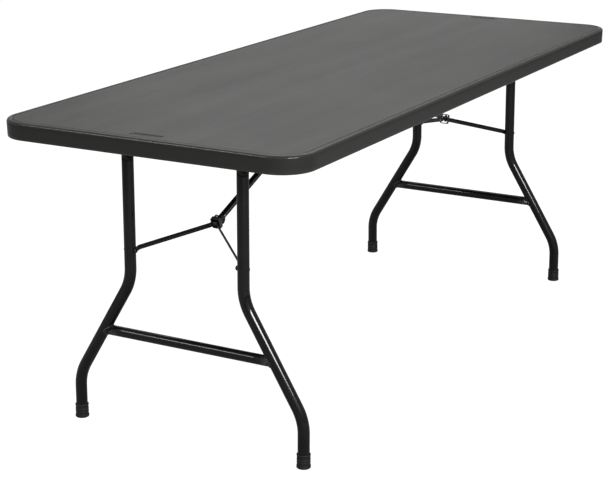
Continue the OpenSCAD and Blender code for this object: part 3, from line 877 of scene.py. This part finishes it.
def strut_parts():
    """The strut's channel: a folded strip with its web on top, rounded at its upper end."""
    wall, depth, tongue = channel_wall, channel_depth, tongue_length
    fold = 2.2 * MM - wall / 2
    side_y, web = strut_half - wall / 2, depth - wall / 2
    turn = np.linspace(0, np.pi / 2, 6)
    lip = np.linspace(-depth + 0.3 * MM, web - fold, 5)
    line = [(-side_y, w) for w in lip]
    line += [(-side_y + fold * (1 - math.cos(a)), web - fold + fold * math.sin(a)) for a in turn]
    line = np.array(line + [(-y, w) for y, w in line[::-1]])
    lean = np.concatenate([np.zeros(5), turn, np.pi - turn[::-1], np.full(5, np.pi)])
    normal = np.stack([-np.cos(lean), np.sin(lean)], -1)
    outer, inner = line + normal * wall / 2, line - normal * wall / 2
    count = len(line)
    loop = np.concatenate([outer, inner[::-1]])
    runs = [-tongue, -tongue + 0.6 * MM, *np.linspace(-10 * MM, strut_length - 8 * MM, 24)]
    rings = [np.column_stack([np.full(len(loop), u), loop]) for u in runs]
    rings[0][:, 0] += 2.4 * MM * (loop[:, 1] / depth) ** 2
    rings[1][:, 0] += 2.2 * MM * (loop[:, 1] / depth) ** 2
    for share in (0.5, 0.85, 1.0):
        level = np.minimum(np.abs(loop[:, 1]), depth)
        reach = strut_length + np.sqrt(depth ** 2 - level ** 2)
        start = strut_length - 8 * MM
        rings.append(np.column_stack([start + (reach - start) * share, loop]))
    rings = np.array(rings)
    around = len(loop)
    faces = grid_faces(len(rings), around, 0, wrap=True)
    for base in (0, (len(rings) - 1) * around):
        faces += [[base + k, base + k + 1, base + around - 2 - k, base + around - 1 - k]
                  for k in range(count - 1)]
    return rings, faces


def stop_rivet():
    """A low bright rivet head on the strut above the knee, which the folded arm passes over."""
    rings = crosswise(turned([(0.3, -0.6), (2.7, -0.6)] + dome(2.8, 0.55)), -strut_half)
    return rings + np.array([stop_distance, 0, 0])


def plug_rings():
    """The plastic plug that closes the channel's lower end."""
    rows = [(0.6 * MM, -19.4 * MM), (0, -18.8 * MM), (0, -12 * MM)]
    y, w, along = np.moveaxis(box_rings(plug_width, plug_height, plug_corner, rows), -1, 0)
    return np.stack([along, y, w - 0.6 * MM], -1)


def collar_rings():
    """The lock ring: a folded flat collar with soft corners and rounded rims."""
    width, wall, length = 2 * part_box("left_lock_ring")[1].y, collar_wall, collar_length
    soft = 0.45 * MM
    rows = [(soft, 0), (0, soft), (0, length - soft), (soft, length), (wall - soft, length),
            (wall, length - soft), (wall, soft), (wall - soft, 0)]
    rings = box_rings(width, collar_height, collar_corner, rows)
    y, w, along = np.moveaxis(rings, -1, 0)
    return np.stack([along - collar_seat - length / 2, y, w], -1)


def eye_block(radius, height, thickness, bore, soft, around=48):
    """A bored block about the Y axis: round below its bore and square up to a height above it."""
    turn = full_turn(around)
    cos, sin = np.cos(turn), np.sin(turn)
    square = np.minimum(radius / np.maximum(np.abs(cos), 1e-6), height / np.maximum(sin, 1e-6))
    reach = np.where(sin > 0, square, radius)
    half = thickness / 2
    rows = [(bore, -half), (bore, half), (reach - soft, half), (reach, half - soft),
            (reach, -half + soft), (reach - soft, -half)]
    return np.array([np.stack([r * cos, np.full(around, y), r * sin], -1) for r, y in rows])


def bracket_parts():
    """The strut's bracket: a pressed plate with two round-ended ears."""
    wall, pin_radius = bracket_wall, 3.05 * MM
    soft = 0.5 * MM
    rows = [(soft, 0), (0, soft), (0, wall - soft), (soft, wall)]
    plate = box_rings(bracket_length, bracket_width, plate_corner, rows)
    plate += np.array([strut_pin.x, 0, under_z - wall])
    ear = eye_block(ear_radius, under_z - strut_pin.z - 1 * MM, wall, pin_radius, soft)
    ear += np.array([strut_pin.x, -strut_half - ear_gap - wall / 2, strut_pin.z])
    return [solid(plate)] + both_sides([hollow(ear)])


def strut_pin_rings():
    """The pin through the bracket's ears, with a low head at each end."""
    face = (strut_half + ear_gap + bracket_wall) / MM + 0.1
    half = [(r, face + h) for r, h in dome(4.2, 1.9)][::-1] + [(4.2, face), (3.0, face)]
    rows = half + [(r, -y) for r, y in half[::-1]]
    return crosswise(turned(rows)) + np.array([strut_pin.x, 0, strut_pin.z])


for end, end_sign in ends:
    for side, side_sign in sides:
        rings = mirrored(arm_rings(), 1, side_sign)
        arm = build(f"{end}_{side}_flat_arm", [solid(rings)], end_sign, in_brace_frame)
        finish_piece(arm, f"{end}_brace_arms", "black_steel", powder, f"{end}_{side}_arm")
    for node, body, kind, finish, parts in (
            ("arm_rivets", "brace_arms", "black_rivet", powder, both_sides([solid(arm_rivet())])),
            ("knee_pin", "brace_arms", "zinc_steel", zinc, [solid(knee_pin_rings())]),
            ("knee_washers", "brace_arms", "nylon", nylon,
             both_sides([hollow(washer_rings())])),
            ("strut", "brace_strut", "black_steel", powder, [strut_parts(), solid(plug_rings())]),
            ("lock_ring", "ring", "black_steel", powder, [hollow(collar_rings())])):
        piece = build(f"{end}_{node}_made", parts, end_sign, in_brace_frame)
        finish_piece(piece, f"{end}_{body}", kind, finish, f"{end}_{node}")
    rivet = build(f"{end}_stop_rivet_heads", both_sides([solid(stop_rivet())]), end_sign,
                  in_brace_frame)
    finish_piece(rivet, f"{end}_brace_strut", "zinc_steel", zinc)
    bracket = build(f"{end}_pressed_bracket", bracket_parts(), end_sign)
    finish_piece(bracket, "top", "black_steel", powder, f"{end}_strut_bracket")
    pin = build(f"{end}_strut_pin_heads", [solid(strut_pin_rings())], end_sign)
    finish_piece(pin, "top", "black_rivet", powder, f"{end}_strut_pin")

# ---------------------------------------------------------------------------------------------
# Underneath. Two steel rails run along the panel. At each end two hangers with nylon bushes
# carry the pivot tube, and cross-head screws hold everything to the moulding.
rail_low, rail_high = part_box("front_rail")
rail_y = (rail_low.y + rail_high.y) / 2
rail_height = rail_high.z - rail_low.z
screw_bite = 14 * MM
flange = (92 * MM, 30 * MM, 4 * MM)
hanger_wall, hanger_width, bush_wall = 6 * MM, 14 * MM, 2.5 * MM
head_radius, head_height, shank_radius = 4.5, 2.45, 2.45


def lengthwise(rings):
    """Turn a piece from the Z axis to the X axis."""
    y, z, along = np.moveaxis(rings, -1, 0)
    return np.stack([along, y, z], -1)


def rail_rings():
    """The front rail: a rectangular tube with rounded corners and open, softened ends."""
    wall, soft, half = 1.6 * MM, 0.3 * MM, rail_high.x
    rows = [(soft, -half), (0, -half + soft)]
    rows += [(0, x) for x in np.linspace(-half, half, 26)[1:-1]]
    rows += [(0, half - soft), (soft, half), (wall, half), (wall, -half)]
    rings = lengthwise(box_rings(rail_high.y - rail_low.y, rail_height, 2.6 * MM, rows))
    return rings + np.array([0, rail_y, rail_low.z + rail_height / 2])


def pivot_rings():
    """The pivot tube with its open ends."""
    radius, half = pivot_radius / MM, pivot_half / MM
    rows = [(radius - 0.3, -half), (radius, -half + 0.3)]
    rows += [(radius, y) for y in np.linspace(-half, half, 24)[1:-1]]
    rows += [(radius, half - 0.3), (radius - 0.3, half), (radius - 1.5, half),
             (radius - 1.5, -half)]
    return crosswise(turned(rows, 44))


def hanger_parts():
    """The front hanger: a bored block under a screwed flange."""
    bore = pivot_radius + bush_wall
    plate_z = under_z - rail_height - flange[2]
    block = eye_block(bore + hanger_wall, plate_z - pivot.z + 1 * MM, hanger_width, bore,
                      0.9 * MM, 64)
    block += np.array([pivot.x, rail_y, pivot.z])
    rows = [(1.0 * MM, 0), (0.3 * MM, 0.3 * MM), (0, 1.0 * MM), (0, 3.7 * MM),
            (0.3 * MM, flange[2])]
    plate = box_rings(flange[0], flange[1], plate_corner, rows)
    plate += np.array([pivot.x, rail_y, plate_z])
    return both_sides([hollow(block), solid(plate)])


def bush_rings():
    """The front nylon bush around the pivot tube."""
    inner, outer = pivot_radius / MM + 0.06, pivot_radius / MM + 2.44
    rows = [(inner, -6.9), (outer - 0.4, -6.9), (outer, -6.5), (outer, 6.5), (outer - 0.4, 6.9),
            (inner, 6.9)]
    return crosswise(turned(rows, 48)) + np.array([pivot.x, rail_y, pivot.z])


def screw_rings(place, length):
    """A cross-head screw that points up from its head's underside at a place."""
    radii = [0.1, 0.45, 0.8, 1.1, 1.4, 1.7, 2.0, 2.3, 2.6, 3.0, 3.5, 4.0, 4.3, 4.45]
    rows = [(r, -head_height * (1 - (r / head_radius) ** 3.2)) for r in radii]
    rows += [(4.45, 0), (shank_radius, 0), (shank_radius, length / MM - 3), (0.2, length / MM)]
    rings = turned(rows, 40)
    crossed = rings[:len(radii) - 1]
    x, y = np.abs(crossed[..., 0]), np.abs(crossed[..., 1])
    narrow, wide = np.minimum(x, y), np.maximum(x, y)
    crossed[..., 2] += 1.3 * MM * (1 - smooth_step(0.35 * MM, 0.6 * MM, narrow)) \
        * (1 - smooth_step(1.7 * MM, 2.3 * MM, wide))
    return rings + np.array(place)


def screw_set(places, length):
    """Screws at several places as parts of one piece."""
    return [solid(screw_rings(place, length)) for place in places]


for side, side_sign in sides:
    rail = build(f"{side}_rail_tube", [hollow(mirrored(rail_rings(), 1, side_sign))])
    finish_piece(rail, "top", "black_steel", powder, f"{side}_rail")
rail_reach = 2 * rail_high.x / 3
rail_places = [(share * rail_reach, rail_y, rail_low.z) for share in (-1, -0.38, 0, 0.38, 1)]
screws = build("rail_screws_turned", both_sides(screw_set(rail_places, rail_height + screw_bite)))
finish_piece(screws, "top", "zinc_steel", zinc, "rail_screws")
hanger_low, hanger_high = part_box("left_hanger_screws")
hanger_reach = (hanger_high.x - hanger_low.x) / 2 - head_radius * MM
bracket_low, bracket_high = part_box("left_bracket_screws")
bracket_reach = (bracket_high.x - bracket_low.x) / 2 - head_radius * MM
bracket_side = bracket_high.y - head_radius * MM
for end, end_sign in ends:
    tube = build(f"{end}_pivot_tube_made", [hollow(pivot_rings())], end_sign, in_leg_frame)
    finish_piece(tube, f"{end}_legs", "black_steel", powder, f"{end}_pivot_tube")
    hangers = build(f"{end}_cast_hangers", hanger_parts(), end_sign)
    finish_piece(hangers, "top", "black_steel", powder, f"{end}_hangers")
    bushes = build(f"{end}_nylon_bushes", both_sides([hollow(bush_rings())]), end_sign)
    finish_piece(bushes, "top", "nylon", nylon, f"{end}_bushes")
    places = [(pivot.x + x * hanger_reach, rail_y, under_z - rail_height - flange[2])
              for x in (-1, 1)]
    length = flange[2] + rail_height + screw_bite
    screws = build(f"{end}_hanger_screws_turned", both_sides(screw_set(places, length)), end_sign)
    finish_piece(screws, "top", "zinc_steel", zinc, f"{end}_hanger_screws")
    places = [(strut_pin.x + x * bracket_reach, -bracket_side, under_z - bracket_wall)
              for x in (-1, 1)]
    screws = build(f"{end}_bracket_screws_turned",
                   both_sides(screw_set(places, bracket_wall + screw_bite)), end_sign)
    finish_piece(screws, "top", "zinc_steel", zinc, f"{end}_bracket_screws")

# ---------------------------------------------------------------------------------------------
# Floor and light. A plain white floor that fades into the background and keeps a soft shadow,
# one broad soft light overhead, and smaller ones at the front for the tubes' highlights.
floor_half = 30
floor_grey, shadow_grey, white = (0.42, 0.42, 0.42, 1), (0.16, 0.16, 0.16, 1), (1, 1, 1, 1)
floor_glow = 0.97
soft_level, gloss_level = 0.24, 0.37


def seen_directly(tree):
    """1 for rays that come from the camera, straight or through something clear."""
    path = add_node(tree, "ShaderNodeLightPath").outputs
    return joined(tree, "MAXIMUM", path["Is Camera Ray"], path["Is Transmission Ray"])


def shader_of(tree, kind, links):
    """The shader that a node gives."""
    return add_node(tree, kind, links).outputs[0]


floor_corners = [(-floor_half, -floor_half, 0), (floor_half, -floor_half, 0),
                 (floor_half, floor_half, 0), (-floor_half, floor_half, 0)]
floor = make_piece("floor", floor_corners, [(0, 1, 2, 3)])
floor_material = bpy.data.materials.new("pale_floor")
floor_material.use_nodes = True
tree = floor_material.node_tree
tree.nodes.clear()
plain = shader_of(tree, "ShaderNodeBsdfDiffuse", {"Color": floor_grey})
shaded = shader_of(tree, "ShaderNodeBsdfDiffuse", {"Color": shadow_grey})
glow = shader_of(tree, "ShaderNodeEmission", {"Color": white, "Strength": floor_glow})
shown = shader_of(tree, "ShaderNodeAddShader", {0: shaded, 1: glow})
above = shader_of(tree, "ShaderNodeMixShader", {0: seen_directly(tree), 1: plain, 2: shown})
below = add_node(tree, "ShaderNodeNewGeometry").outputs["Backfacing"]
clear = shader_of(tree, "ShaderNodeBsdfTransparent", {})
both = shader_of(tree, "ShaderNodeMixShader", {0: below, 1: above, 2: clear})
add_node(tree, "ShaderNodeOutputMaterial", {"Surface": both})
floor.data.materials.append(floor_material)

world = bpy.data.worlds.new("studio")
world.use_nodes = True
tree = world.node_tree
tree.nodes.clear()
glossy = add_node(tree, "ShaderNodeLightPath").outputs["Is Glossy Ray"]
level = ranged(tree, glossy, 0.0, 1.0, soft_level, gloss_level)
soft = shader_of(tree, "ShaderNodeBackground", {"Color": white, "Strength": level})
plain = shader_of(tree, "ShaderNodeBackground", {"Color": white, "Strength": 1.0})
both = shader_of(tree, "ShaderNodeMixShader", {0: seen_directly(tree), 1: soft, 2: plain})
add_node(tree, "ShaderNodeOutputWorld", {"Surface": both})
bpy.context.scene.world = world


def soft_light(name, place, aim, size, power):
    """A rectangular area light that faces a point."""
    data = bpy.data.lights.new(name, "AREA")
    data.shape = "RECTANGLE"
    data.size, data.size_y = size
    data.energy = power
    lamp = bpy.data.objects.new(name, data)
    lamp.location = place
    lamp.rotation_euler = (Vector(aim) - Vector(place)).to_track_quat("-Z", "Y").to_euler()
    bpy.context.scene.collection.objects.link(lamp)


middle = (0, 0, 0.6)
soft_light("overhead", (1.1, 0.3, 3.6), middle, (4.0, 3.0), 92)
soft_light("front_strip", (-2.6, -3.4, 2.2), (-0.9, -0.25, 0.3), (2.0, 0.42), 115)
soft_light("end_strip", (-3.05, 1.65, 2.3), (-0.75, 0, 0.23), (1.2, 0.3), 22)
soft_light("back_fill", (3.9, 2.2, 1.3), middle, (2.6, 0.9), 7)
